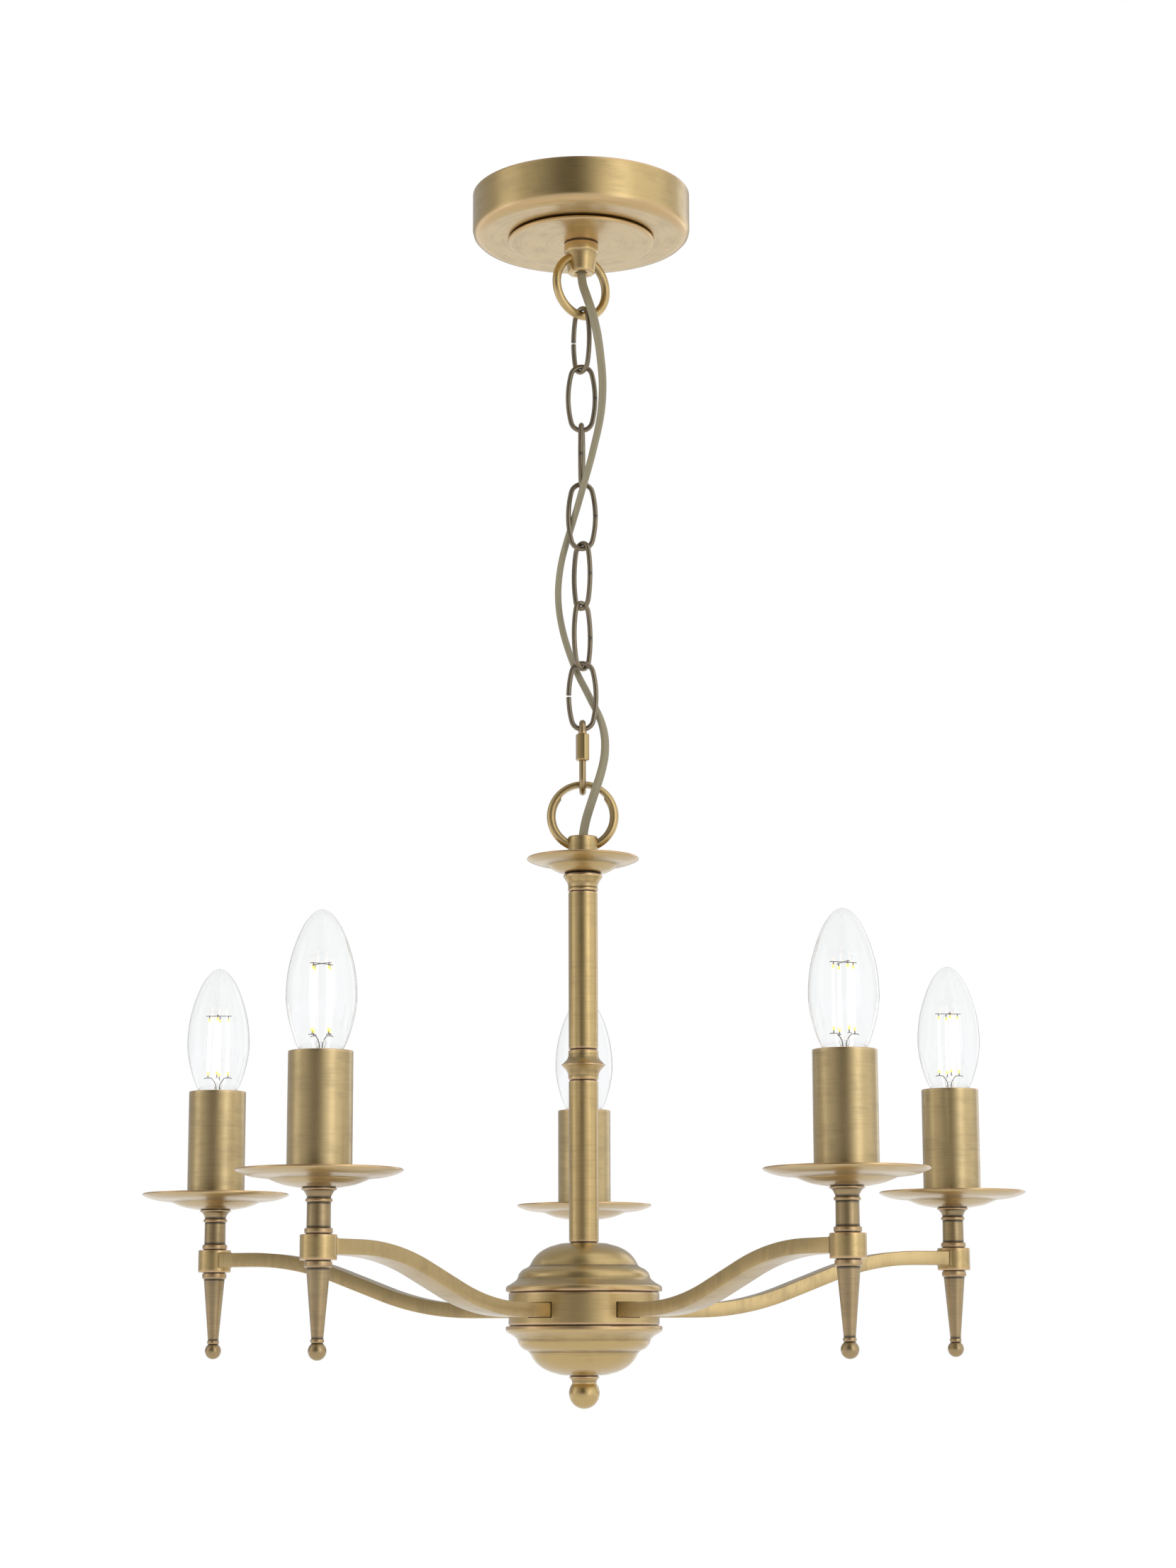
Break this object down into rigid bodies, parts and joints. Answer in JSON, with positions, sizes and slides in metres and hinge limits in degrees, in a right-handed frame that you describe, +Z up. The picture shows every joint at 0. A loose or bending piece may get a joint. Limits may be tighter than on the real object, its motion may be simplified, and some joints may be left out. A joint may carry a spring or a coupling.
{
  "type": "multi arm chandelier",
  "caption": "Chain-hung brass chandelier: curved flat arms from a domed hub carry drip pans, candle tubes and clear candle lamps below a round ceiling canopy.",
  "frame": {"origin": "middle of the two ceiling screw holes, on the ceiling plane that the bracket and the canopy's rim lie against", "axes": "+Z up into the ceiling, the column hanging along -Z; X runs through the two screw holes; one arm points along +Y"},
  "size_m": [0.4966, 0.4764, 0.6826],
  "materials": {
    "satin_brass": "satin brushed and lacquered",
    "aged_brass": "antiqued, satin",
    "zinc_steel": "zinc plated",
    "white_plastic": "moulded",
    "ivory_plastic": "moulded",
    "core_insulation": "smooth pvc",
    "olive_flex": "smooth pvc, slightly glossy",
    "clear_glass": "clear",
    "nickel_cap": "bright nickel"
  },
  "bodies": {
    "ceiling": {"ceiling_bracket": "zinc_steel", "bracket_nut": "zinc_steel", "canopy_nipple": "zinc_steel", "canopy": "satin_brass", "canopy_disc": "satin_brass", "top_loop": "satin_brass", "terminal_block": "white_plastic", "supply_tails": "core_insulation", "flex": "olive_flex"},
    "link_1": {"chain_link_1": "aged_brass"},
    "link_2": {"chain_link_2": "aged_brass"},
    "link_3": {"chain_link_3": "aged_brass"},
    "link_4": {"chain_link_4": "aged_brass"},
    "link_5": {"chain_link_5": "aged_brass"},
    "link_6": {"chain_link_6": "aged_brass"},
    "link_7": {"chain_link_7": "aged_brass"},
    "screw_link": {"quick_link": "satin_brass"},
    "sleeve_nut": {"quick_link_nut": "satin_brass"},
    "chandelier": {"lower_loop": "satin_brass", "column_pan": "satin_brass", "column_capital": "satin_brass", "upper_tube": "satin_brass", "column_knuckle": "satin_brass", "lower_tube": "satin_brass", "centre_rod": "zinc_steel", "hub_top_dome": "satin_brass", "hub_band": "satin_brass", "hub_bottom_dome": "satin_brass", "hub_nut": "zinc_steel", "bottom_finial": "satin_brass", "hub_terminal_ring": "white_plastic", "arm_leads": "core_insulation", "arm_1": "satin_brass", "arm_2": "satin_brass", "arm_3": "satin_brass", "arm_4": "satin_brass", "arm_5": "satin_brass", "drip_pan_1": "satin_brass", "drip_pan_2": "satin_brass", "drip_pan_3": "satin_brass", "drip_pan_4": "satin_brass", "drip_pan_5": "satin_brass", "candle_tube_1": "satin_brass", "candle_tube_2": "satin_brass", "candle_tube_3": "satin_brass", "candle_tube_4": "satin_brass", "candle_tube_5": "satin_brass", "candle_stems": "satin_brass", "lampholders": "ivory_plastic", "drop_finials": "aged_brass"},
    "bulb_1": {"bulb_glass_1": "clear_glass", "bulb_cap_1": "nickel_cap"},
    "bulb_2": {"bulb_glass_2": "clear_glass", "bulb_cap_2": "nickel_cap"},
    "bulb_3": {"bulb_glass_3": "clear_glass", "bulb_cap_3": "nickel_cap"},
    "bulb_4": {"bulb_glass_4": "clear_glass", "bulb_cap_4": "nickel_cap"},
    "bulb_5": {"bulb_glass_5": "clear_glass", "bulb_cap_5": "nickel_cap"}
  },
  "joints": [
    {"name": "loop_swing", "type": "hinge", "parent": "ceiling", "child": "link_1", "pos_m": [0, 0, -0.0715], "axis": [0.7986, 0.6018, 0], "range_deg": [-8, 8], "deforming": ["flex"]},
    {"name": "link_1_swing", "type": "hinge", "parent": "link_1", "child": "link_2", "pos_m": [0, 0, -0.10495], "axis": [0.5878, -0.809, 0], "range_deg": [-8, 8]},
    {"name": "link_2_swing", "type": "hinge", "parent": "link_2", "child": "link_3", "pos_m": [0, 0, -0.13945], "axis": [1, 0, 0], "range_deg": [-8, 8]},
    {"name": "link_3_swing", "type": "hinge", "parent": "link_3", "child": "link_4", "pos_m": [0, 0, -0.17395], "axis": [0.0872, 0.9962, 0], "range_deg": [-8, 8]},
    {"name": "link_4_swing", "type": "hinge", "parent": "link_4", "child": "link_5", "pos_m": [0, 0, -0.20845], "axis": [1, 0, 0], "range_deg": [-8, 8]},
    {"name": "link_5_swing", "type": "hinge", "parent": "link_5", "child": "link_6", "pos_m": [0, 0, -0.24295], "axis": [0.5878, -0.809, 0], "range_deg": [-8, 8]},
    {"name": "link_6_swing", "type": "hinge", "parent": "link_6", "child": "link_7", "pos_m": [0, 0, -0.27745], "axis": [0.5878, 0.809, 0], "range_deg": [-8, 8]},
    {"name": "link_7_swing", "type": "hinge", "parent": "link_7", "child": "screw_link", "pos_m": [0, 0, -0.31195], "axis": [1, 0, 0], "range_deg": [-8, 8]},
    {"name": "frame_swing", "type": "hinge", "parent": "screw_link", "child": "chandelier", "pos_m": [0, 0, -0.3474], "axis": [0, 1, 0], "range_deg": [-8, 8]},
    {"name": "sleeve_nut_screw", "type": "slide", "parent": "screw_link", "child": "sleeve_nut", "axis": [0, 0, -1], "range_m": [0, 0.0085]},
    {"name": "bulb_1_unscrew", "type": "slide", "parent": "chandelier", "child": "bulb_1", "axis": [0, 0, 1], "range_m": [0, 0.04]},
    {"name": "bulb_2_unscrew", "type": "slide", "parent": "chandelier", "child": "bulb_2", "axis": [0, 0, 1], "range_m": [0, 0.04]},
    {"name": "bulb_3_unscrew", "type": "slide", "parent": "chandelier", "child": "bulb_3", "axis": [0, 0, 1], "range_m": [0, 0.04]},
    {"name": "bulb_4_unscrew", "type": "slide", "parent": "chandelier", "child": "bulb_4", "axis": [0, 0, 1], "range_m": [0, 0.04]},
    {"name": "bulb_5_unscrew", "type": "slide", "parent": "chandelier", "child": "bulb_5", "axis": [0, 0, 1], "range_m": [0, 0.04]}
  ]
}
